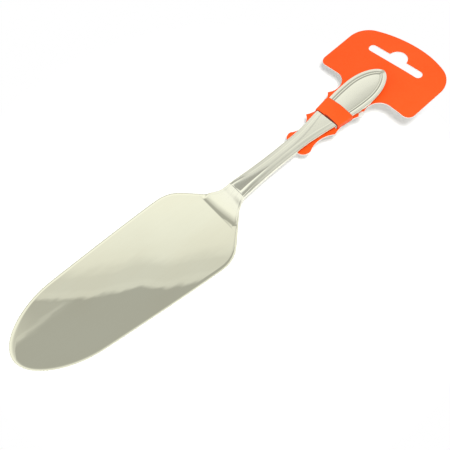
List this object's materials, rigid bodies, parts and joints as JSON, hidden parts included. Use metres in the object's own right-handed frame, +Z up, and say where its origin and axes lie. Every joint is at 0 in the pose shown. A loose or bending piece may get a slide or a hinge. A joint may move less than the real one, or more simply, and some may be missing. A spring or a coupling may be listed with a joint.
{
  "type": "cake server",
  "caption": "Stamped steel cake server with a flat round-tipped blade, cranked neck and relief-pressed handle, carried in the band of a die-cut orange hang card.",
  "frame": {"origin": "on the blade's underside, on the centre line under the blade's widest place", "axes": "+X from the blade's tip along the centre line towards the hang card's header, +Y to the left, +Z up out of the blade's face"},
  "size_m": [0.2688, 0.0657, 0.0249],
  "materials": {
    "polished_steel": "polished",
    "orange_board": "satin print on white board"
  },
  "bodies": {
    "server": {"server": "polished_steel"},
    "hang_card": {"hang_card": "orange_board"}
  },
  "joints": [
    {"name": "card_slide", "type": "slide", "parent": "server", "child": "hang_card", "axis": [0.9929, 0, 0.1191], "range_m": [-0.028, 0]}
  ]
}
